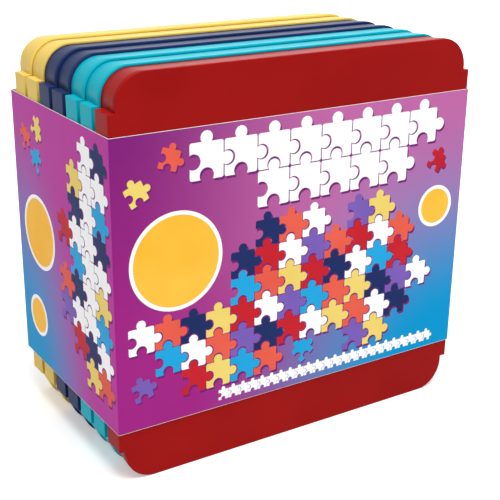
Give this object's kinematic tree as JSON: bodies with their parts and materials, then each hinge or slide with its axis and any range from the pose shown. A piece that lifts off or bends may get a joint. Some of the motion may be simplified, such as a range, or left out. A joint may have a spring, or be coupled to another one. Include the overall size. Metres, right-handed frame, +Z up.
{
  "type": "jigsaw puzzle sorting tray set",
  "caption": "Square stacking trays with hook lips on two sides, nested on edge under a flat lid and held together by a printed board sleeve.",
  "frame": {"origin": "under the middle of the set, on the surface that it stands on", "axes": "+Z up; +X to the right across the lid; +Y from the lid back through the stack, so the lid's face looks along -Y"},
  "size_m": [0.2706, 0.151, 0.26],
  "materials": {
    "red_moulding": "glossy moulded",
    "teal_moulding": "glossy moulded",
    "navy_moulding": "glossy moulded",
    "yellow_moulding": "glossy moulded",
    "printed_board": "coated print",
    "adhesive_film": "smooth backing paper",
    "hanger_plastic": "satin"
  },
  "bodies": {
    "root": {"lid": "red_moulding", "red_tray": "red_moulding", "sleeve": "printed_board", "teal_tray_front": "teal_moulding", "teal_tray_back": "teal_moulding", "navy_tray_front": "navy_moulding", "navy_tray_back": "navy_moulding", "yellow_tray_front": "yellow_moulding", "yellow_tray_back": "yellow_moulding", "adhesive_sheet_1": "adhesive_film", "adhesive_sheet_2": "adhesive_film", "adhesive_sheet_3": "adhesive_film", "adhesive_sheet_4": "adhesive_film", "adhesive_sheet_5": "adhesive_film", "adhesive_sheet_6": "adhesive_film", "hanger_1": "hanger_plastic", "hanger_2": "hanger_plastic"}
  },
  "joints": []
}
